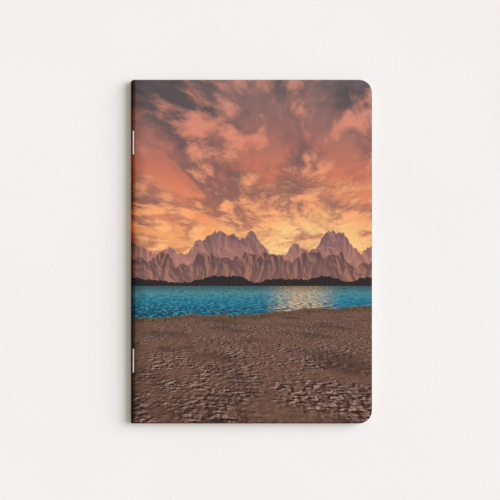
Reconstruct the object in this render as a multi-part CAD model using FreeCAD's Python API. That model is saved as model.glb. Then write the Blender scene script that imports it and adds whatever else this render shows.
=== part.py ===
import FreeCAD, Part
import math
import os

# A stapled A5 notebook, closed and lying on its back cover.
# +X runs from the spine to the fore-edge, +Y from the foot to the head, +Z up out of the front cover.
# The origin is on the surface that it lies on, under the middle of the closed book.
# Lengths are in millimetres.

# Book block and cover
HEIGHT = 210.0
CLOSED_WIDTH = 147.5
SHEET_COUNT = 18  # each sheet is folded once into two leaves
PAPER_THICKNESS = 0.11
COVER_THICKNESS = 0.35
FORE_CORNER_RADIUS = 8.0
SPINE_HEAD_RADIUS = 2.0  # the worn corner at the head of the spine
CREASE_GAP = 0.15  # between the flat halves and the rounded fold, so that the creases can turn

# Wire staples, of flat wire with rounded bends
WIRE_WIDTH = 0.85
WIRE_THICKNESS = 0.4
WIRE_BEND_RADIUS = 0.2  # on the inside of each bend
STAPLE_CROWN = 14.8
STAPLE_SPACING = 133.3
STAPLE_INSET = 1.7  # from the outside of the spine to the middle of the crown, seen from above
STAPLE_SINK = 0.15  # how deep the crown is pressed into the cover
CLINCH_LENGTH = 5.2
STAPLE_CLEARANCE = 0.05

# Worked out from the values above
LEAF_STACK = SHEET_COUNT * PAPER_THICKNESS
SPINE_RADIUS = LEAF_STACK + COVER_THICKNESS
MID_Z = SPINE_RADIUS  # the level of the centre fold
TOP_Z = 2 * SPINE_RADIUS
SPINE_X = -CLOSED_WIDTH / 2
FORE_X = CLOSED_WIDTH / 2
CREASE_X = SPINE_X + SPINE_RADIUS  # where the rounded fold meets the flat halves
FLAT_X = CREASE_X + CREASE_GAP
FOOT_Y = -HEIGHT / 2
HEAD_Y = HEIGHT / 2

CROWN_UNDER = SPINE_RADIUS - STAPLE_SINK  # heights of the staple, measured out from the middle of the fold
CROWN_TOP = CROWN_UNDER + WIRE_THICKNESS
CLINCH_HALF = WIRE_THICKNESS / 2
CROWN_MIDDLE = CROWN_UNDER + WIRE_THICKNESS / 2
STAPLE_TILT = math.degrees(math.asin((SPINE_RADIUS - STAPLE_INSET) / CROWN_MIDDLE))  # from upright
CLINCH_REACH = math.hypot(WIRE_WIDTH / 2, CLINCH_HALF) + STAPLE_CLEARANCE
POCKET_SHEETS = math.ceil(CLINCH_REACH / PAPER_THICKNESS)  # whole sheets make way for the clinched ends
POCKET_RADIUS = POCKET_SHEETS * PAPER_THICKNESS

Vector = FreeCAD.Vector


def rounded_face(corners):
    """A flat face from (point, corner radius) pairs in order. A radius of 0 leaves the corner sharp."""
    edges = []
    ends = []
    for i, (point, radius) in enumerate(corners):
        before = corners[i - 1][0]
        after = corners[(i + 1) % len(corners)][0]
        if radius == 0:
            ends.append((point, point))
            continue
        to_before = (before - point).normalize()
        to_after = (after - point).normalize()
        half_turn = to_before.getAngle(to_after) / 2
        reach = radius / math.tan(half_turn)
        start = point + to_before * reach
        end = point + to_after * reach
        inward = (to_before + to_after).normalize()
        middle = point + inward * (radius / math.sin(half_turn) - radius)
        edges.append(Part.Arc(start, middle, end).toShape())
        ends.append((start, end))
    for i in range(len(ends)):
        start = ends[i][1]
        end = ends[(i + 1) % len(ends)][0]
        edges.append(Part.LineSegment(start, end).toShape())
    return Part.Face(Part.Wire(Part.__sortEdges__(edges)))


def flat_half(low_z, high_z):
    """One flat layer from the crease to the fore-edge, with both fore-edge corners rounded."""
    face = rounded_face([
        (Vector(FLAT_X, FOOT_Y, low_z), 0),
        (Vector(FORE_X, FOOT_Y, low_z), FORE_CORNER_RADIUS),
        (Vector(FORE_X, HEAD_Y, low_z), FORE_CORNER_RADIUS),
        (Vector(FLAT_X, HEAD_Y, low_z), 0),
    ])
    return face.extrude(Vector(0, 0, high_z - low_z))


def fold_shell(inner_radius, outer_radius):
    """One layer of the rounded fold: half a tube along Y, or half a rod where the inner radius is 0."""

    def on_fold(radius, out, up):
        return Vector(CREASE_X - radius * out, FOOT_Y, MID_Z + radius * up)

    def half_turn(radius):
        low = on_fold(radius, 0, -1)
        high = on_fold(radius, 0, 1)
        return Part.Arc(low, on_fold(radius, 1, 0), high).toShape()

    edges = [half_turn(outer_radius)]
    if inner_radius > 0:
        edges.append(half_turn(inner_radius))
        for up in (-1, 1):
            ends = on_fold(inner_radius, 0, up), on_fold(outer_radius, 0, up)
            edges.append(Part.LineSegment(*ends).toShape())
    else:
        ends = on_fold(outer_radius, 0, -1), on_fold(outer_radius, 0, 1)
        edges.append(Part.LineSegment(*ends).toShape())
    profile = Part.Face(Part.Wire(Part.__sortEdges__(edges)))
    return profile.extrude(Vector(0, HEIGHT, 0))


def spine_outline():
    """The plan of the closed book as a block, with the worn corner at the head of the spine."""
    face = rounded_face([
        (Vector(SPINE_X, FOOT_Y, 0), 0),
        (Vector(FORE_X, FOOT_Y, 0), 0),
        (Vector(FORE_X, HEAD_Y, 0), 0),
        (Vector(SPINE_X, HEAD_Y, 0), SPINE_HEAD_RADIUS),
    ])
    return face.extrude(Vector(0, 0, TOP_Z))


def onto_spine(shape, middle_y):
    """Moves a staple shape from its own frame, crown upwards over the fold's centre, to its place."""
    shape.rotate(Vector(0, 0, 0), Vector(0, 1, 0), -STAPLE_TILT)
    shape.translate(Vector(CREASE_X, middle_y, MID_Z))
    return shape


def staple(middle_y):
    """One staple: the crown outside the spine, two legs through the fold and their clinched ends."""
    half = STAPLE_CROWN / 2
    inside = half - WIRE_THICKNESS
    tip = half - CLINCH_LENGTH
    outer_bend = WIRE_BEND_RADIUS + WIRE_THICKNESS
    # y, height, bend radius; the other half mirrors these
    one_side = [
        (half, CROWN_TOP, outer_bend),
        (half, -CLINCH_HALF, outer_bend),
        (tip, -CLINCH_HALF, 0),
        (tip, CLINCH_HALF, 0),
        (inside, CLINCH_HALF, WIRE_BEND_RADIUS),
        (inside, CROWN_UNDER, WIRE_BEND_RADIUS),
    ]
    other_side = [(-y, height, radius) for y, height, radius in reversed(one_side)]
    face = rounded_face([
        (Vector(-WIRE_WIDTH / 2, y, height), radius) for y, height, radius in one_side + other_side
    ])
    return onto_spine(face.extrude(Vector(WIRE_WIDTH, 0, 0)), middle_y)


def staple_room(middle_y):
    """The space that a staple needs: a channel for its crown, slots for its legs, a pocket for its ends."""
    half = STAPLE_CROWN / 2 + STAPLE_CLEARANCE
    inside = STAPLE_CROWN / 2 - WIRE_THICKNESS - STAPLE_CLEARANCE
    across = WIRE_WIDTH / 2 + STAPLE_CLEARANCE
    past = CROWN_TOP + SPINE_RADIUS
    # y from, y to, height from
    blocks = [
        (-half, half, CROWN_UNDER - STAPLE_CLEARANCE),
        (-half, -inside, 0),
        (inside, half, 0),
    ]
    boxes = []
    for low_y, high_y, low_z in blocks:
        corner = Vector(-across, low_y, low_z)
        boxes.append(Part.makeBox(2 * across, high_y - low_y, past - low_z, corner))
    slots = onto_spine(boxes[0].fuse(boxes[1:]), middle_y)

    in_fold = Vector(CREASE_X, middle_y - half, MID_Z)
    in_leaves = Vector(CREASE_X, middle_y - half, MID_Z - POCKET_RADIUS)
    round_pocket = Part.makeCylinder(POCKET_RADIUS, 2 * half, in_fold, Vector(0, 1, 0))
    flat_pocket = Part.makeBox(POCKET_RADIUS, 2 * half, 2 * POCKET_RADIUS, in_leaves)
    return [slots, round_pocket, flat_pocket]


def build():
    """Every piece of the notebook by its name."""
    staple_middles = {"upper": STAPLE_SPACING / 2, "lower": -STAPLE_SPACING / 2}
    room = [shape for middle_y in staple_middles.values() for shape in staple_room(middle_y)]
    outline = spine_outline()

    pieces = {
        "back_cover": flat_half(0, COVER_THICKNESS),
        "front_cover": flat_half(TOP_Z - COVER_THICKNESS, TOP_Z),
        "cover_spine": fold_shell(LEAF_STACK, SPINE_RADIUS).common(outline).cut(room),
    }
    for i in range(SHEET_COUNT):
        outer = (SHEET_COUNT - i) * PAPER_THICKNESS  # sheet 1 is next to the cover
        inner = (SHEET_COUNT - i - 1) * PAPER_THICKNESS
        number = f"{i + 1:02d}"
        pieces[f"front_leaf_{number}"] = flat_half(MID_Z + inner, MID_Z + outer).cut(room)
        pieces[f"back_leaf_{number}"] = flat_half(MID_Z - outer, MID_Z - inner).cut(room)
        pieces[f"sheet_fold_{number}"] = fold_shell(inner, outer).common(outline).cut(room)
    for name, middle_y in staple_middles.items():
        pieces[f"staple_{name}"] = staple(middle_y)
    return pieces


os.makedirs("parts", exist_ok=True)
for name, shape in build().items():
    shape.exportStep(f"parts/{name}.step")
    box = shape.BoundBox
    print(f"{name}: {len(shape.Solids)} solids, {shape.Volume:.2f} mm3, valid {shape.isValid()}, "
          f"z {box.ZMin:.3f} to {box.ZMax:.3f}, x {box.XMin:.3f} to {box.XMax:.3f}")
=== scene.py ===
"""The looks of a stapled A5 notebook, built round its CAD frame. Lengths are in metres.

The notebook lies closed on its back cover: +X runs from the spine to the fore-edge, +Y from the foot to
the head, and +Z up out of the front cover. The cover is one folded card, cut into pieces where the joints
bend it. Each folded sheet is two leaves. Card and leaves are slabs that follow the same fold.
"""
import math
import random

import bmesh
import bpy
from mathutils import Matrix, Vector


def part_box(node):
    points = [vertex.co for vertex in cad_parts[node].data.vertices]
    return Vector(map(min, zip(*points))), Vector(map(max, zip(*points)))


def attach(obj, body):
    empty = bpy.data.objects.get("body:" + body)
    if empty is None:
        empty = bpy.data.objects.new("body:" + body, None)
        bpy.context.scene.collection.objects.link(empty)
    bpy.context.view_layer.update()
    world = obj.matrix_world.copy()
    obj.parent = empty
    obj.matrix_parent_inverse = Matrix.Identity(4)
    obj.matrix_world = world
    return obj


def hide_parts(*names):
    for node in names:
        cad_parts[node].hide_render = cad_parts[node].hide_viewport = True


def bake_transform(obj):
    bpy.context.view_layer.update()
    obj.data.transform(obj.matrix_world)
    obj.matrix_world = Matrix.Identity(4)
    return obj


MM = 0.001

# Shapes that the CAD frame leaves plain
CORNER_RADIUS = 8.0 * MM  # of the fore-edge corners
WORN_RADIUS = 2.0 * MM  # of the spine's corner at the head
FOLD_LENGTH = 3.2 * MM  # from the spine's edge to where the cover is flat
FOLD_SQUARENESS = 3.0  # 2 would be an ellipse; the fold is pressed, so its shoulders are fuller
EYE_HEIGHT = 0.38 * MM  # half the opening that the innermost sheet keeps at its fold
SETTLE_LENGTH = 5.0 * MM  # over which the leaves close again behind the eye
PAPER_SHARE = 0.8  # of a leaf's pitch that is paper, so that a line shows between two leaves
TRIM_SPREAD = 0.07 * MM  # how unevenly the leaves were trimmed
CARD_BEVEL = 0.05 * MM  # along the card's cut rims
SHARP_ANGLE = 40.0  # degrees; flatter edges are shaded smooth

# where the spine's pieces of the card end
CARD_BEND_REACH = 0.85 * MM  # and from here on it goes with its half of the book
HINGE_REACH = 3.3 * MM  # the front cover's own hinge lies between the last reach and this one
LAST_LEAF_BENDS = (-0.3 * MM, 1.9 * MM)  # at the centre spread
FINE_REACH = -0.5 * MM  # from here on the fold's lines are a bend step apart

# How fine the meshes are: steps round a curve, lines along the height, and lengths between two stations
CARD_FOLD_STEPS = 22
CARD_SHOULDER_STEPS = 3
LEAF_FOLD_STEPS = 10
CORNER_STEPS = 10
CARD_LINES = 24
STAPLE_LINES = 30
LEAF_LINES = 4
BEND_STEP = 0.1 * MM
HINGE_STEP = 0.12 * MM
BACK_STEP = 1.0 * MM
PANEL_STEP = 20.0 * MM
LEAF_STEP = 40.0 * MM

# Which of a slab's materials a face takes. An end that goes on in the next piece gets no bevel, and takes the
# cut edge's material after that.
OUTER, INNER, CUT_EDGE, JOINED_END = range(4)

# The wire staples
STAPLE_NAMES = ("staple_upper", "staple_lower")
WIRE_WIDTH = 0.85 * MM
WIRE_THICKNESS = 0.4 * MM
WIRE_BEND = 0.4 * MM  # radius of the wire's centreline in its bends
CROWN_INSET = 1.7 * MM  # from the spine's edge to the middle of the crown, seen from above
CROWN_SINK = 0.15 * MM  # how deep the crown is pressed into the card
CLINCH_LENGTH = 5.2 * MM
CLINCH_REACH = 0.3 * MM  # of the clinched ends past the crease
CLINCH_RISE = 0.06 * MM  # of a clinched tip, back towards the crown
CROWN_STRAIGHT = 0.9  # of the half crown that has points before the bend
CROWN_STEPS = 6
WIRE_BEND_STEPS = 8
CLINCH_STEPS = 5
SECTION_CORNERS = 16
SIDE_ROUNDNESS = 0.5  # 1 would be an ellipse, 0 a rectangle
FACE_ROUNDNESS = 0.6
TIP_THICKNESS = 0.45  # of the wire's, where it is cut off
DENT_REACH = 0.7 * MM  # beyond the wire, where the card rises again
DENT_MARGIN = 1.5 * MM  # beyond a staple's ends, where the card's lines are still close

# The landscape printed on the cover, in plain millimetres up from the foot and along from the spine
HORIZON = 84.0
SKY_HEIGHT = 126.0
GLOW_ALONG = 106.0  # the middle of the evening glow

# The ruling of the pages, in plain millimetres up from the foot
LINE_SPACING = 7.0
FIRST_LINE = 12.0
LAST_LINE = 187.0

# The view and its light
VIEW_WIDTH = 305.5 * MM  # what the picture spans at the front cover
VIEW_CENTRE = (-0.8 * MM, 1.0 * MM)
LENS = 100.0  # plain millimetres, as the sensor's width is
SENSOR = 36.0
KEY_AZIMUTH = 14.0  # degrees, from +X towards the head
KEY_ELEVATION = 27.0
KEY_SIZE = 50.0  # degrees across, so that the shadow is soft
KEY_STRENGTH = 3.55
KEY_COLOUR = (0.96, 1.0, 1.13)
DOME_STRENGTH = 0.46
DOME_COLOUR = (1.04, 1.0, 0.86, 1.0)  # a little warmer than the key, as the light in the shadows is
BACKGROUND = (0.912, 0.89376, 0.88008, 1.0)  # what the camera and glossy surfaces see past the floor
FLOOR_SIZE = 8.0

random.seed(7)
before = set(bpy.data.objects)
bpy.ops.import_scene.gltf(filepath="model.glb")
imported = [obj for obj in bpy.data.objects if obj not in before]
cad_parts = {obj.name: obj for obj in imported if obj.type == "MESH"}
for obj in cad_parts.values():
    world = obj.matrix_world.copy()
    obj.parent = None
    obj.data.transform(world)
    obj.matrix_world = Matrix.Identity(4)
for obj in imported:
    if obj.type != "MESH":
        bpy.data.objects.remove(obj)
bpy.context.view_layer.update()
panel_low, panel_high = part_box("front_cover")
fold_low, fold_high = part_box("cover_spine")
leaf_low, leaf_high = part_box("front_leaf_01")

SHEETS = sum(name.startswith("front_leaf_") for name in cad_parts)
SPINE_X = fold_low.x
CREASE_X = fold_high.x
FORE_X = panel_high.x
FOOT_Y = panel_low.y
HEAD_Y = panel_high.y
HEIGHT = HEAD_Y - FOOT_Y
TOP_Z = panel_high.z
MID_Z = TOP_Z / 2
PITCH = leaf_high.z - leaf_low.z
STACK = SHEETS * PITCH  # the thickness of one half's leaves
FLAT_X = SPINE_X + FOLD_LENGTH  # where the fold ends
# about the card's way from the spine's edge to there
QUARTER_FOLD = math.pi / 2 * math.sqrt((FOLD_LENGTH ** 2 + MID_Z ** 2) / 2)


# ---------------------------------------------------------------- shapes

def smooth(share):
    """Rises from 0 to 1 with a level start and end."""
    share = min(1.0, max(0.0, share))
    return share * share * (3 - 2 * share)


def fuller(share):
    """The sine or cosine of a fold's angle, moved out for its pressed shape."""
    return max(0.0, share) ** (2 / FOLD_SQUARENESS)


def fold_height(radius):
    """Half the height at the fold of the layer that lies this far from the middle of the book."""
    if radius >= STACK:
        return radius
    return EYE_HEIGHT + radius * (1 - EYE_HEIGHT / STACK)


def layer_point(radius, station, side):
    """x and z on a layer. A station is ("fold", angle from the spine's edge) or ("flat", x)."""
    kind, value = station
    height = fold_height(radius)
    if kind == "fold":
        reach = radius + FOLD_LENGTH - MID_Z
        return FLAT_X - reach * fuller(math.cos(value)), MID_Z + side * height * fuller(math.sin(value))
    settled = smooth((value - FLAT_X) / SETTLE_LENGTH)
    return value, MID_Z + side * (height + (radius - height) * settled)


def foot_and_head(x, trim=0.0):
    """The lowest and highest y of the book's outline at x."""
    foot = FOOT_Y + trim
    head = HEAD_Y - trim
    past = x - (FORE_X - CORNER_RADIUS)
    if past > 0:
        inset = CORNER_RADIUS - math.sqrt(max(0.0, CORNER_RADIUS ** 2 - past ** 2))
        return foot + inset, head - inset
    past = SPINE_X + WORN_RADIUS - x
    if past > 0:
        head -= WORN_RADIUS - math.sqrt(max(0.0, WORN_RADIUS ** 2 - past ** 2))
    return foot, head


def along_sheet(point):
    """How far along the unfolded sheet a point lies from the spine's edge: over 0 on the front half."""
    side = 1 if point.z >= MID_Z else -1
    if point.x >= FLAT_X:
        return side * (QUARTER_FOLD + point.x - FLAT_X)
    angle = math.atan2(abs(point.z - MID_Z) / MID_Z, (FLAT_X - point.x) / FOLD_LENGTH)
    return side * QUARTER_FOLD * angle / (math.pi / 2)


def fold_stations(first, last, count):
    """Even steps of the fold's angle."""
    return [("fold", first + (last - first) * i / count) for i in range(count + 1)]


def fold_angle(x, radius):
    """The angle at which a layer's fold reaches x."""
    reach = radius + FOLD_LENGTH - MID_Z
    share = min(1.0, max(0.0, (FLAT_X - x) / reach))
    return math.acos(share ** (FOLD_SQUARENESS / 2))


def finer_at_crease(stations, radius):
    """The same fold stations, closer together where the layers bend, so that none of them cuts a corner."""
    finer = [stations[0]]
    for before, after in zip(stations, stations[1:]):
        start = layer_point(radius, before, 1)[0]
        end = layer_point(radius, after, 1)[0]
        if end > CREASE_X + FINE_REACH:
            count = math.ceil((end - start) / BEND_STEP)
            for i in range(1, count):
                finer.append(("fold", fold_angle(start + (end - start) * i / count, radius)))
        finer.append(after)
    return finer


def flat_stations(first, last, step):
    """Even steps along x, about as long as step."""
    count = max(1, round((last - first) / step))
    return [("flat", first + (last - first) * i / count) for i in range(count + 1)]


def corner_stations(trim=0.0):
    """From the start of the fore-edge corners to the fore-edge."""
    start = FORE_X - CORNER_RADIUS
    reach = CORNER_RADIUS - trim
    angles = [math.pi / 2 * i / CORNER_STEPS for i in range(1, CORNER_STEPS + 1)]
    return [("flat", start + reach * math.sin(angle)) for angle in angles]


def even_lines(count):
    """Shares from 0 to 1."""
    return [i / count for i in range(count + 1)]


def staple_middles():
    boxes = [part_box(name) for name in STAPLE_NAMES]
    return [(low.y + high.y) / 2 for low, high in boxes]


def staple_length():
    low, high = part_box(STAPLE_NAMES[0])
    return high.y - low.y


def lines_at_staples():
    """Shares of the height, closer together where the staples press into the card."""
    reach = staple_length() / 2 + DENT_MARGIN
    places = set(even_lines(CARD_LINES))
    for middle in staple_middles():
        for i in range(STAPLE_LINES + 1):
            y = middle - reach + 2 * reach * i / STAPLE_LINES
            places.add((y - FOOT_Y) / HEIGHT)
    return sorted(places)


def dent(point, middles, half_length):
    """How deep a staple presses the card in at a point."""
    across = abs(point.x - (SPINE_X + CROWN_INSET)) - WIRE_WIDTH / 2
    nearest = min(abs(point.y - middle) for middle in middles) - half_length
    gap = math.hypot(max(0.0, across), max(0.0, nearest))
    return CROWN_SINK * (1 - smooth(gap / DENT_REACH))


def slab(name, radii, side, stations, lines, materials, ends, trim=0.0, bevel=0.0, dented=False):
    """A sheet between two layers, as a closed mesh.

    radii are of its outer and inner face. materials are those of its outer face, its inner face and its cut
    edges. ends say whether it is cut at its first and last station, or goes on in the next piece.
    """
    built = bmesh.new()
    faces = []
    for radius in radii:
        rows = []
        for station in stations:
            x, z = layer_point(radius, station, side)
            foot, head = foot_and_head(x, trim)
            rows.append([built.verts.new((x, foot + (head - foot) * share, z)) for share in lines])
        faces.append(rows)
    outer, inner = faces
    if dented:
        press_in(outer)
    last_row = len(stations) - 1
    last_line = len(lines) - 1

    def add(corners, material):
        built.faces.new(corners).material_index = material

    for i in range(last_row):
        for j in range(last_line):
            for material, rows in ((OUTER, outer), (INNER, inner)):
                add([rows[i][j], rows[i + 1][j], rows[i + 1][j + 1], rows[i][j + 1]], material)
        for j in (0, last_line):
            add([outer[i][j], outer[i + 1][j], inner[i + 1][j], inner[i][j]], CUT_EDGE)
    for i, cut in zip((0, last_row), ends):
        for j in range(last_line):
            corners = [outer[i][j], outer[i][j + 1], inner[i][j + 1], inner[i][j]]
            add(corners, CUT_EDGE if cut else JOINED_END)
    if bevel:
        rims = []
        for edge in built.edges:
            sides = {face.material_index for face in edge.link_faces}
            if sides in ({OUTER, CUT_EDGE}, {INNER, CUT_EDGE}):
                rims.append(edge)
        bmesh.ops.bevel(built, geom=rims, offset=bevel, segments=2, profile=0.5, affect="EDGES")
    for face in built.faces:
        if face.material_index == JOINED_END:
            face.material_index = CUT_EDGE
    return piece_from(name, built, materials)


def press_in(rows):
    """Moves the outer face of the card in under the staples."""
    middles = staple_middles()
    half_length = staple_length() / 2
    for row in rows:
        for vertex in row:
            inward = Vector((FLAT_X - vertex.co.x, 0, MID_Z - vertex.co.z)).normalized()
            vertex.co += inward * dent(vertex.co, middles, half_length)


def piece_from(name, built, materials):
    """The object of a bmesh, shaded smooth, with its place on the unfolded sheet as its UV map."""
    for face in built.faces:
        face.smooth = True
    bmesh.ops.recalc_face_normals(built, faces=built.faces)
    mesh = bpy.data.meshes.new(name)
    built.to_mesh(mesh)
    built.free()
    for material in materials:
        mesh.materials.append(material)
    layer = mesh.uv_layers.new(name="Sheet")
    for loop in mesh.loops:
        point = mesh.vertices[loop.vertex_index].co
        layer.uv[loop.index].vector = (along_sheet(point), point.y)
    mesh.set_sharp_from_angle(angle=math.radians(SHARP_ANGLE))
    piece = bpy.data.objects.new(name, mesh)
    bpy.context.scene.collection.objects.link(piece)
    return piece


# ---------------------------------------------------------------- materials

def linear(red, green, blue):
    """A colour written as on a screen, from 0 to 255, as linear light."""
    shares = [value / 255 for value in (red, green, blue)]
    return [s / 12.92 if s <= 0.04045 else ((s + 0.055) / 1.055) ** 2.4 for s in shares] + [1.0]


class Tree:
    """One material, with short calls that add shader nodes and join them."""

    def __init__(self, name):
        self.material = bpy.data.materials.new(name)
        self.material.use_nodes = True
        self.tree = self.material.node_tree
        self.shader = self.tree.nodes["Principled BSDF"]

    def feed(self, socket, value):
        if isinstance(value, bpy.types.NodeSocket):
            self.tree.links.new(value, socket)
        else:
            socket.default_value = value

    def put(self, kind, **settings):
        node = self.tree.nodes.new("ShaderNode" + kind)
        for name, value in settings.items():
            setattr(node, name, value)
        return node

    def math(self, operation, *values):
        node = self.put("Math", operation=operation)
        for socket, value in zip(node.inputs, values):
            self.feed(socket, value)
        return node.outputs[0]

    def sheet_place(self):
        """Millimetres along the unfolded sheet from the spine's edge, and up from the foot."""
        x, y = self.split(self.put("UVMap", uv_map="Sheet").outputs[0])
        along = self.math("MULTIPLY", x, 1 / MM)
        up = self.math("MULTIPLY", self.math("SUBTRACT", y, FOOT_Y), 1 / MM)
        return along, up

    def split(self, vector):
        """The x and the y of a vector."""
        node = self.put("SeparateXYZ")
        self.feed(node.inputs[0], vector)
        return node.outputs[0], node.outputs[1]

    def vector(self, x, y, z=0.0):
        node = self.put("CombineXYZ")
        for socket, value in zip(node.inputs, (x, y, z)):
            self.feed(socket, value)
        return node.outputs[0]

    def noise(self, vector, scale, detail, roughness, distortion=0.0):
        node = self.put("TexNoise")
        settings = {
            "Vector": vector,
            "Scale": scale,
            "Detail": detail,
            "Roughness": roughness,
            "Distortion": distortion,
        }
        for name, value in settings.items():
            self.feed(node.inputs[name], value)
        return node.outputs[0]

    def ease(self, value, start, end, low=0.0, high=1.0):
        """low up to start, high from end on, and smooth between them. start may be over end."""
        node = self.put("MapRange", interpolation_type="SMOOTHSTEP")
        for socket, number in zip(node.inputs, (value, start, end, low, high)):
            self.feed(socket, number)
        return node.outputs[0]

    def ramp(self, value, stops):
        """A colour from (place, (red, green, blue)) stops."""
        node = self.put("ValToRGB")
        elements = node.color_ramp.elements
        while len(elements) < len(stops):
            elements.new(1.0)
        for element, (place, colour) in zip(elements, stops):
            element.position = place
            element.color = linear(*colour)
        self.feed(node.inputs[0], value)
        return node.outputs[0]

    def mix(self, share, first, second, blend_type="MIX"):
        node = self.put("Mix", data_type="RGBA", blend_type=blend_type)
        values = [linear(*value) if isinstance(value, tuple) else value for value in (first, second)]
        # a Mix node's colours are its inputs 6 and 7 and its output 2
        self.feed(node.inputs[0], share)
        self.feed(node.inputs[6], values[0])
        self.feed(node.inputs[7], values[1])
        return node.outputs[2]

    def darken(self, colour, share):
        """The colour times a share of 0 to 1."""
        return self.mix(1.0, colour, share, "MULTIPLY")

    def gamma(self, colour, power):
        node = self.put("Gamma")
        self.feed(node.inputs[0], colour)
        self.feed(node.inputs[1], power)
        return node.outputs[0]

    def bump(self, height, distance, strength=1.0):
        node = self.put("Bump")
        self.feed(node.inputs["Height"], height)
        node.inputs["Distance"].default_value = distance
        node.inputs["Strength"].default_value = strength
        self.feed(self.shader.inputs["Normal"], node.outputs[0])

    def set(self, **values):
        """Feeds the shader's inputs, whose names are written with _ for a space, and gives the material."""
        for name, value in values.items():
            self.feed(self.shader.inputs[name.replace("_", " ")], value)
        return self.material


def relief(tree, height_at, place, step, contrast):
    """A height at a place, and the light on it: 0.5 on level ground, more where it faces along the step."""
    here = height_at(place)
    node = tree.put("VectorMath", operation="ADD")
    tree.feed(node.inputs[0], place)
    node.inputs[1].default_value = step
    ahead = height_at(node.outputs[0])
    return here, tree.math("MULTIPLY_ADD", tree.math("SUBTRACT", here, ahead), contrast, 0.5)


def sky(tree, along, up):
    """An evening sky: a glow low on the right, and clouds that run together towards the horizon."""
    height = tree.math("DIVIDE", tree.math("SUBTRACT", up, HORIZON), SKY_HEIGHT)
    clear = tree.ramp(height, [
        (0.0, (255, 206, 134)),
        (0.14, (252, 186, 116)),
        (0.34, (242, 150, 102)),
        (0.55, (208, 122, 98)),
        (0.78, (158, 112, 106)),
        (1.0, (122, 104, 106)),
    ])
    off_side = tree.math("SUBTRACT", along, GLOW_ALONG)
    off_up = tree.math("MULTIPLY", tree.math("SUBTRACT", up, HORIZON + 14.0), 1.5)
    far = tree.math("SQRT", tree.math("ADD", tree.math("MULTIPLY", off_side, off_side),
                                      tree.math("MULTIPLY", off_up, off_up)))
    clear = tree.mix(tree.ease(far, 4.0, 80.0, 0.95, 0.0), clear, (255, 220, 150))

    # the clouds lie on a level ceiling overhead, so they crowd together towards the horizon
    depth = tree.math("DIVIDE", 1.0, tree.math("ADD", tree.math("MAXIMUM", height, 0.0), 0.2))
    across = tree.math("MULTIPLY", tree.math("SUBTRACT", along, 120.0), tree.math("MULTIPLY", depth, 0.0065))
    ceiling = tree.vector(across, tree.math("MULTIPLY", depth, 0.8), 3.1)

    def bank(place):
        return tree.noise(place, 2.6, 10.0, 0.6, 0.35)

    def flock(place):
        return tree.noise(place, 8.5, 8.0, 0.62, 0.5)

    body, light = relief(tree, bank, ceiling, (0.045, 0.06, 0.0), 4.5)
    light = tree.ease(light, 0.3, 0.98)
    shaded = tree.ramp(height, [
        (0.0, (222, 140, 102)),
        (0.3, (170, 110, 96)),
        (0.6, (110, 90, 91)),
        (1.0, (80, 76, 79)),
    ])
    lit = tree.ramp(height, [
        (0.0, (255, 206, 138)),
        (0.35, (254, 176, 122)),
        (0.7, (226, 144, 118)),
        (1.0, (208, 144, 126)),
    ])
    banks = tree.mix(light, shaded, lit)
    colour = tree.mix(tree.ease(body, 0.4, 0.56, 0.0, 0.94), clear, banks)

    flecks, fleck_light = relief(tree, flock, ceiling, (0.02, 0.025, 0.0), 4.0)
    near_glow = tree.math("MULTIPLY", tree.ease(far, 20.0, 100.0, 0.9, 0.0), tree.ease(body, 0.6, 0.46))
    share = tree.math("MULTIPLY", tree.ease(flecks, 0.5, 0.62), near_glow)
    fleck = tree.mix(tree.ease(fleck_light, 0.3, 0.8), (230, 136, 96), (255, 208, 142))
    return tree.mix(share, colour, fleck)


def under(tree, up, level, blur):
    """1 where up is under a level and 0 over it, with an edge that is blurred this far to each side."""
    return tree.ease(tree.math("SUBTRACT", up, level), -blur, blur, 1.0, 0.0)


def ridge_level(tree, along, base, rise, scale, seed, rough):
    """The height of a mountain line, with its peaks where a noise passes its middle."""
    line = tree.noise(tree.vector(along, seed), scale, 9.0, rough)
    off_middle = tree.math("ABSOLUTE", tree.math("SUBTRACT", line, 0.5))
    return tree.math("SUBTRACT", base, tree.math("MULTIPLY", off_middle, rise))


def hills(tree, along, up, colour):
    """Two ranges of mountains in the haze, and the wooded far shore in front of them."""

    def slopes(place):
        spurs = tree.noise(place, 0.075, 7.0, 0.5, 0.8)
        return tree.math("ABSOLUTE", tree.math("SUBTRACT", spurs, 0.5))

    place = tree.vector(along, tree.math("MULTIPLY", up, 0.55))
    light = relief(tree, slopes, place, (-1.0, -0.4, 0.0), 8.0)[1]
    haze = tree.ease(up, HORIZON, HORIZON + 34.0)
    # base, rise, scale, seed, roughness, colour in the haze, colour of the tops, how much the slopes show
    ranges = [
        (118.0, 150.0, 0.016, 4.0, 0.52, (206, 142, 120), (128, 96, 102), 0.22),
        (105.0, 95.0, 0.024, 17.0, 0.55, (136, 98, 93), (72, 60, 68), 0.26),
    ]
    for base, rise, scale, seed, rough, low, high, shown in ranges:
        level = ridge_level(tree, along, base, rise, scale, seed, rough)
        shade = tree.mix(haze, low, high)
        shade = tree.mix(tree.ease(light, 0.4, 0.9, 0.0, shown), shade, (240, 164, 126))
        shade = tree.mix(tree.ease(light, 0.1, 0.55, shown, 0.0), shade, (48, 40, 48))
        colour = tree.mix(under(tree, up, level, 0.3), colour, shade)

    crowns = tree.noise(tree.vector(along, 31.0), 0.5, 7.0, 0.7)
    rise = tree.noise(tree.vector(along, 47.0), 0.035, 3.0, 0.5)
    level = tree.math("MULTIPLY_ADD", crowns, 4.5, tree.math("MULTIPLY_ADD", rise, 14.0, HORIZON - 5.0))
    leaves = tree.noise(tree.vector(along, up), 0.9, 6.0, 0.7)
    wood = tree.mix(tree.ease(leaves, 0.4, 0.7), (36, 31, 34), (64, 52, 50))
    return tree.mix(under(tree, up, level, 0.15), colour, wood)


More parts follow.
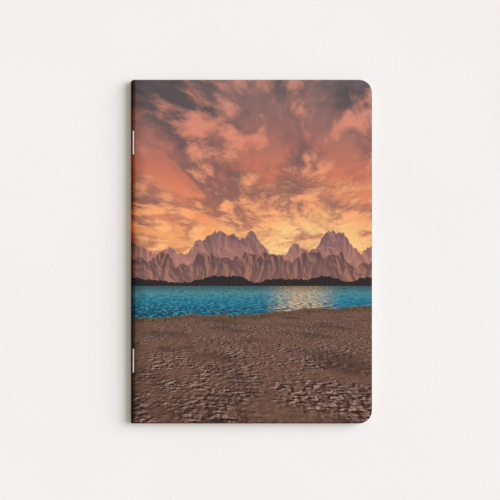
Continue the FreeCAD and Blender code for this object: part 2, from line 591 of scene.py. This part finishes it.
def lake(tree, along, up, colour):
    """Turquoise water in front of the far shore: ripples, and the reflections of the wood and of the glow."""
    below = tree.math("MAXIMUM", tree.math("SUBTRACT", HORIZON, up), 0.0)
    nearness = tree.math("ADD", below, 6.0)
    place = tree.vector(tree.math("DIVIDE", tree.math("MULTIPLY", along, 9.0), nearness),
                        tree.math("DIVIDE", 760.0, nearness))
    ripple = tree.noise(place, 0.9, 5.0, 0.6)
    swell = tree.noise(place, 0.22, 3.0, 0.5)
    water = tree.ramp(tree.ease(below, 0.0, 22.0), [
        (0.0, (98, 146, 150)),
        (0.3, (34, 128, 152)),
        (0.7, (18, 98, 126)),
        (1.0, (14, 76, 100)),
    ])
    water = tree.mix(tree.ease(swell, 0.4, 0.6, 0.5, 0.0), water, (14, 62, 84))
    water = tree.mix(tree.ease(ripple, 0.5, 0.7, 0.0, 0.85), water, (126, 196, 202))
    water = tree.mix(tree.ease(ripple, 0.3, 0.47, 0.9, 0.0), water, (10, 52, 70))
    off_side = tree.math("ABSOLUTE", tree.math("SUBTRACT", along, GLOW_ALONG))
    glint = tree.math("MULTIPLY", tree.ease(off_side, 2.0, 26.0, 1.0, 0.0), tree.ease(ripple, 0.46, 0.58))
    water = tree.mix(glint, water, (255, 204, 138))
    shade = tree.math("MULTIPLY", tree.ease(below, 0.5, 5.0, 0.8, 0.0), tree.ease(ripple, 0.62, 0.5))
    water = tree.mix(shade, water, (40, 46, 50))
    return tree.mix(under(tree, up, HORIZON, 0.15), colour, water)


def field(tree, along, up, colour):
    """Ploughed earth whose rows run together far off on the left, and the dry grass at its edge."""
    below = tree.math("MAXIMUM", tree.math("SUBTRACT", HORIZON, up), 5.0)
    depth = tree.math("DIVIDE", HORIZON, below)
    across = tree.math("MULTIPLY", tree.math("SUBTRACT", along, 26.0), depth)
    ground = tree.vector(across, tree.math("MULTIPLY", depth, 150.0))

    def furrows(place):
        sway = tree.noise(place, 0.011, 4.0, 0.55)
        phase = tree.math("MULTIPLY_ADD", tree.split(place)[0], 0.34, tree.math("MULTIPLY", sway, 16.0))
        clods = tree.noise(place, 0.2, 8.0, 0.62, 0.4)
        return tree.math("MULTIPLY_ADD", tree.math("SINE", phase), 0.035, clods)

    height, light = relief(tree, furrows, ground, (-0.8, 1.6, 0.0), 3.2)
    worn = tree.noise(ground, 0.02, 6.0, 0.62, 0.5)
    rough = tree.ease(worn, 0.43, 0.57, 0.8, 0.35)
    shade = tree.math("SUBTRACT", light, 0.5)
    tone = tree.math("MULTIPLY_ADD", tree.math("SUBTRACT", height, 0.5), 0.9, shade)
    earth = tree.ramp(tree.math("MULTIPLY_ADD", tone, rough, 0.5), [
        (0.12, (31, 20, 18)),
        (0.34, (70, 48, 42)),
        (0.52, (110, 80, 69)),
        (0.7, (146, 112, 99)),
        (0.95, (196, 164, 149)),
    ])
    damp = tree.noise(ground, 0.013, 5.0, 0.6)
    earth = tree.mix(tree.ease(worn, 0.48, 0.62, 0.0, 0.5), earth, (126, 90, 74))
    earth = tree.mix(tree.ease(damp, 0.52, 0.36, 0.0, 0.5), earth, (54, 39, 35))
    earth = tree.mix(tree.ease(up, 0.0, 50.0, 0.15, 0.0), earth, (34, 23, 21))

    rise = tree.noise(tree.vector(along, 21.0), 0.03, 4.0, 0.55)
    level = tree.math("MULTIPLY_ADD", along, 0.05, tree.math("MULTIPLY_ADD", rise, 12.0, 57.5))
    blades = tree.noise(tree.vector(along, tree.math("MULTIPLY", up, 0.15)), 2.8, 5.0, 0.75, 0.4)
    tips = tree.math("MULTIPLY_ADD", blades, 5.0, tree.math("SUBTRACT", level, 2.0))
    grass = tree.mix(tree.ease(blades, 0.36, 0.66), (36, 27, 21), (136, 104, 76))
    earth = tree.mix(tree.ease(tree.math("SUBTRACT", up, level), -3.5, -1.0), earth, grass)
    return tree.mix(under(tree, up, tips, 0.3), colour, earth)


def printed_card():
    """The outside of the cover: satin card with an evening landscape printed over it, and painted shade along
    the spine's fold and along the foot.
    """
    tree = Tree("printed_card")
    along, up = tree.sheet_place()
    colour = sky(tree, along, up)
    colour = hills(tree, along, up, colour)
    colour = lake(tree, along, up, colour)
    colour = field(tree, along, up, colour)
    # painted shade along the spine's fold: the print is made deeper and browner there
    from_fold = tree.math("ABSOLUTE", along)
    painted_fold_shade = tree.ease(from_fold, 2.2, 4.8, 1.0, 0.0)
    colour = tree.gamma(colour, tree.math("MULTIPLY_ADD", painted_fold_shade, 0.95, 1.0))
    colour = tree.mix(painted_fold_shade, colour, (250, 232, 188), "MULTIPLY")
    # painted shade: a wider, fainter darkening towards the spine's fold
    colour = tree.darken(colour, tree.ease(from_fold, 3.0, 13.0, 0.63, 1.0))
    # and painted shade along the foot: the print is a little darker there
    colour = tree.darken(colour, tree.ease(up, 0.4, 1.2, 0.5, 1.0))
    place = tree.vector(along, up)
    grain = tree.noise(place, 2.4, 3.0, 0.6)
    colour = tree.mix(tree.ease(grain, 0.25, 0.75, 0.0, 0.1), colour, (120, 100, 92), "OVERLAY")
    fibres = tree.noise(place, 5.0, 4.0, 0.6)
    tree.bump(fibres, 0.01 * MM)
    roughness = tree.ease(grain, 0.2, 0.8, 0.5, 0.6)
    return tree.set(Base_Color=colour, Roughness=roughness, Specular_IOR_Level=0.1)


def plain_card():
    """The uncoated inside of the cover."""
    tree = Tree("plain_card")
    along, up = tree.sheet_place()
    place = tree.vector(along, up)
    mottle = tree.noise(place, 0.4, 4.0, 0.6)
    fibres = tree.noise(place, 3.0, 5.0, 0.65)
    colour = tree.mix(tree.ease(mottle, 0.3, 0.7), (227, 225, 219), (231, 229, 224))
    colour = tree.mix(tree.ease(fibres, 0.35, 0.75, 0.0, 0.25), colour, (212, 208, 200))
    tree.bump(fibres, 0.02 * MM)
    return tree.set(Base_Color=colour, Roughness=0.85, Specular_IOR_Level=0.3)


def card_edge():
    """The cut edge of the card: its white core, a little soiled."""
    tree = Tree("card_edge")
    along, up = tree.sheet_place()
    soil = tree.noise(tree.vector(along, up), 0.6, 5.0, 0.65)
    colour = tree.mix(tree.ease(soil, 0.35, 0.7), (222, 214, 203), (178, 164, 150))
    return tree.set(Base_Color=colour, Roughness=0.9, Specular_IOR_Level=0.2)


def ruled_paper():
    """A page of soft white paper with faint ruled lines."""
    tree = Tree("ruled_paper")
    along, up = tree.sheet_place()
    place = tree.vector(along, up)
    mottle = tree.noise(place, 0.5, 4.0, 0.6)
    fibres = tree.noise(place, 2.5, 5.0, 0.7)
    colour = tree.mix(tree.ease(mottle, 0.3, 0.7), (229, 224, 211), (232, 227, 215))
    colour = tree.mix(tree.ease(fibres, 0.4, 0.8, 0.0, 0.25), colour, (212, 204, 187))
    from_line = tree.math("PINGPONG", tree.math("SUBTRACT", up, FIRST_LINE), LINE_SPACING / 2)
    line = tree.ease(from_line, 0.08, 0.2, 0.7, 0.0)
    inside = tree.math("MULTIPLY", tree.math("GREATER_THAN", up, FIRST_LINE - LINE_SPACING / 2),
                       tree.math("LESS_THAN", up, LAST_LINE + LINE_SPACING / 2))
    colour = tree.mix(tree.math("MULTIPLY", line, inside), colour, (132, 150, 168))
    tree.bump(fibres, 0.015 * MM)
    return tree.set(Base_Color=colour, Roughness=0.9, Specular_IOR_Level=0.2)


def paper_edge():
    """The trimmed edges of the leaves."""
    tree = Tree("paper_edge")
    along, up = tree.sheet_place()
    nicks = tree.noise(tree.vector(along, up), 1.2, 4.0, 0.6)
    colour = tree.mix(tree.ease(nicks, 0.35, 0.7), (178, 171, 158), (156, 148, 135))
    return tree.set(Base_Color=colour, Roughness=0.95, Specular_IOR_Level=0.1)


def staple_steel():
    """Drawn wire: bright, with fine lines along it."""
    tree = Tree("staple_steel")
    stretch = tree.put("Mapping")
    tree.feed(stretch.inputs["Vector"], tree.put("TexCoord").outputs["Object"])
    stretch.inputs["Scale"].default_value = (9000.0, 250.0, 9000.0)
    drawn = tree.noise(stretch.outputs[0], 1.0, 3.0, 0.6)
    colour = tree.mix(tree.ease(drawn, 0.3, 0.7), (194, 178, 165), (210, 194, 182))
    tree.bump(drawn, 0.004 * MM)
    return tree.set(Base_Color=colour, Metallic=1.0, Roughness=tree.ease(drawn, 0.3, 0.7, 0.3, 0.4))


def floor_paint():
    """A pale, very finely textured surface."""
    tree = Tree("floor_paint")
    place = tree.put("TexCoord").outputs["Object"]
    broad = tree.noise(place, 9.0, 4.0, 0.5)
    fine = tree.noise(place, 260.0, 5.0, 0.6)
    colour = tree.mix(tree.ease(broad, 0.3, 0.7), (246, 242, 240), (248, 246, 244))
    colour = tree.mix(tree.ease(fine, 0.45, 0.8, 0.0, 0.3), colour, (239, 235, 231))
    tree.bump(fine, 0.12 * MM, 0.5)
    return tree.set(Base_Color=colour, Roughness=0.95, Specular_IOR_Level=0.1)


# ---------------------------------------------------------------- pieces


def leaves():
    """Each folded sheet as a leaf of the back half and a leaf of the front half."""
    face = ruled_paper()
    edge = paper_edge()
    bend_end = FLAT_X + LAST_LEAF_BENDS[1]
    for i in range(SHEETS):
        number = f"{i + 1:02d}"
        outer = (SHEETS - i) * PITCH - (1 - PAPER_SHARE) / 2 * PITCH
        radii = (outer, outer - PAPER_SHARE * PITCH)
        for half, side in (("back", -1), ("front", 1)):
            trim = random.uniform(0, TRIM_SPREAD)
            stations = finer_at_crease(fold_stations(0, math.pi / 2, LEAF_FOLD_STEPS), outer)[:-1]
            stations += flat_stations(FLAT_X, bend_end, BEND_STEP)
            stations += flat_stations(bend_end, FORE_X - CORNER_RADIUS, LEAF_STEP)[1:]
            stations += corner_stations(trim)
            piece = slab(f"{half}_page_{number}", radii, side, stations, even_lines(LEAF_LINES),
                         [face, face, edge], ends=(False, True), trim=trim)
            if half == "back":
                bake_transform(piece)
                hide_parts(f"back_leaf_{number}", f"sheet_fold_{number}")
            else:
                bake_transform(piece)
                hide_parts(f"front_leaf_{number}", f"sheet_fold_{number}")


def cover():
    """The folded card, cut where the spine and the front cover's hinge bend."""
    materials = [printed_card(), plain_card(), card_edge()]
    radii = (MID_Z, STACK)
    bend_angle = fold_angle(CREASE_X + CARD_BEND_REACH, MID_Z)
    hinge_end = CREASE_X + HINGE_REACH
    on_fold = finer_at_crease(fold_stations(0, bend_angle, CARD_FOLD_STEPS), MID_Z)
    to_flat = fold_stations(bend_angle, math.pi / 2, CARD_SHOULDER_STEPS)[:-1]
    hinge = to_flat + flat_stations(FLAT_X, hinge_end, HINGE_STEP)
    panel = flat_stations(hinge_end, FORE_X - CORNER_RADIUS, PANEL_STEP) + corner_stations()
    back = to_flat + flat_stations(FLAT_X, hinge_end, BACK_STEP)[:-1] + panel
    # side, stations, whether it is cut at its ends
    pieces = {
        "back_card": (-1, back, (False, True)),
        "spine_card_lower": (-1, on_fold, (False, False)),
        "spine_card_upper": (1, on_fold, (False, False)),
        "hinge_card": (1, hinge, (False, False)),
        "front_card": (1, panel, (False, True)),
    }
    lines = lines_at_staples()
    built = {}
    for name, (side, stations, ends) in pieces.items():
        built[name] = slab(name, radii, side, stations, lines, materials, ends, bevel=CARD_BEVEL,
                           dented=name == "spine_card_upper")
    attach(built["back_card"], "back_half")
    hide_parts("back_cover")
    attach(built["front_card"], "cover_panel")
    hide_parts("front_cover")
    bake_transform(built["spine_card_lower"])
    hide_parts("cover_spine")
    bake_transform(built["spine_card_upper"])
    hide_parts("cover_spine")
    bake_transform(built["hinge_card"])


def wire_path(length, leg):
    """Points (y, height) along half a staple's centreline, from the crown's middle to the clinched tip."""
    half = length / 2 - WIRE_THICKNESS / 2
    bend_y = half - WIRE_BEND
    tip = length / 2 - CLINCH_LENGTH
    points = [(half * i / CROWN_STEPS * CROWN_STRAIGHT, 0.0) for i in range(CROWN_STEPS + 1)]
    # height of each bend's centre, and the angle in degrees at which it starts
    for bend_height, first in ((-WIRE_BEND, 90), (WIRE_BEND - leg, 0)):
        for i in range(WIRE_BEND_STEPS + 1):
            angle = math.radians(first - 90 * i / WIRE_BEND_STEPS)
            points.append((bend_y + WIRE_BEND * math.cos(angle), bend_height + WIRE_BEND * math.sin(angle)))
    for share in even_lines(CLINCH_STEPS)[1:]:
        points.append((bend_y + (tip - bend_y) * share, -leg + CLINCH_RISE * share))
    return points


def wire_section(thickness):
    """Corners (across, through) of the wire's rounded section. thickness is a share of the full one."""
    corners = []
    for i in range(SECTION_CORNERS):
        angle = 2 * math.pi * (i + 0.5) / SECTION_CORNERS
        across = math.copysign(abs(math.cos(angle)) ** SIDE_ROUNDNESS, math.cos(angle))
        through = math.copysign(abs(math.sin(angle)) ** FACE_ROUNDNESS, math.sin(angle))
        corners.append((across * WIRE_WIDTH / 2, through * WIRE_THICKNESS / 2 * thickness))
    return corners


def staple(name, middle_y, steel):
    """One staple, swept along its wire: crown on the spine, legs and clinched ends in the fold."""
    on_card = ("fold", fold_angle(SPINE_X + CROWN_INSET, MID_Z))
    x, z = layer_point(MID_Z, on_card, 1)
    crown = Vector((x, 0, z))
    target = Vector((CREASE_X + CLINCH_REACH, 0, MID_Z))
    out = (crown - target).normalized()
    across = Vector((out.z, 0, -out.x))
    crown_middle = crown + out * (WIRE_THICKNESS / 2 - CROWN_SINK)
    leg = (crown_middle - target).length
    half = wire_path(staple_length(), leg)
    path = [(-y, height) for y, height in reversed(half[1:])] + half
    built = bmesh.new()
    rings = []
    for i, (y, height) in enumerate(path):
        before = path[max(0, i - 1)]
        after = path[min(len(path) - 1, i + 1)]
        run = Vector((0, after[0] - before[0], 0)) + out * (after[1] - before[1])
        through = run.normalized().cross(across)
        thickness = TIP_THICKNESS if i in (0, len(path) - 1) else 1.0
        point = crown_middle + Vector((0, middle_y + y, 0)) + out * height
        corners = wire_section(thickness)
        rings.append([built.verts.new(point + across * a + through * t) for a, t in corners])
    for first, second in zip(rings, rings[1:]):
        for j in range(len(first)):
            k = (j + 1) % len(first)
            built.faces.new([first[j], first[k], second[k], second[j]])
    for ring in (rings[0], rings[-1]):
        built.faces.new(ring)
    piece = piece_from(f"{name}_wire", built, [steel])
    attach(piece, "spine_fold")
    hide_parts(name)


def staples():
    steel = staple_steel()
    for name, middle_y in zip(STAPLE_NAMES, staple_middles()):
        staple(name, middle_y, steel)


# ---------------------------------------------------------------- surroundings

def floor():
    """What the notebook lies on."""
    bpy.ops.mesh.primitive_plane_add(size=FLOOR_SIZE)
    plane = bpy.context.object
    plane.name = "floor"
    plane.data.materials.append(floor_paint())


def key_light():
    """One soft lamp from the fore-edge side."""
    lamp = bpy.data.lights.new("key", "SUN")
    lamp.energy = KEY_STRENGTH
    lamp.color = KEY_COLOUR
    lamp.angle = math.radians(KEY_SIZE)
    key = bpy.data.objects.new("key", lamp)
    azimuth = math.radians(KEY_AZIMUTH)
    elevation = math.radians(KEY_ELEVATION)
    level = math.cos(elevation)
    to_lamp = Vector((math.cos(azimuth) * level, math.sin(azimuth) * level, math.sin(elevation)))
    key.rotation_euler = to_lamp.to_track_quat("Z", "Y").to_euler()
    bpy.context.scene.collection.objects.link(key)


def dome_light():
    """Even light from all round, behind a pale background that only the camera and glossy surfaces see."""
    world = bpy.data.worlds.new("studio")
    world.use_nodes = True
    bpy.context.scene.world = world
    nodes = world.node_tree.nodes
    links = world.node_tree.links
    dome = nodes["Background"]
    dome.inputs["Color"].default_value = DOME_COLOUR
    dome.inputs["Strength"].default_value = DOME_STRENGTH
    seen = nodes.new("ShaderNodeBackground")
    seen.inputs["Color"].default_value = BACKGROUND
    path = nodes.new("ShaderNodeLightPath")
    either = nodes.new("ShaderNodeMath")
    either.operation = "MAXIMUM"
    links.new(path.outputs["Is Camera Ray"], either.inputs[0])
    links.new(path.outputs["Is Glossy Ray"], either.inputs[1])
    both = nodes.new("ShaderNodeMixShader")
    links.new(either.outputs[0], both.inputs[0])
    links.new(dome.outputs[0], both.inputs[1])
    links.new(seen.outputs[0], both.inputs[2])
    links.new(both.outputs[0], nodes["World Output"].inputs["Surface"])


def camera():
    """Straight above the notebook, with a long lens."""
    data = bpy.data.cameras.new("camera")
    data.lens = LENS
    data.sensor_width = SENSOR
    view = bpy.data.objects.new("camera", data)
    middle_x = (SPINE_X + FORE_X) / 2
    middle_y = (FOOT_Y + HEAD_Y) / 2
    distance = VIEW_WIDTH * LENS / SENSOR
    view.location = (middle_x + VIEW_CENTRE[0], middle_y + VIEW_CENTRE[1], TOP_Z + distance)
    bpy.context.scene.collection.objects.link(view)
    bpy.context.scene.camera = view


cover()
leaves()
staples()
floor()
key_light()
dome_light()
camera()
bpy.context.scene.view_settings.view_transform = "Standard"
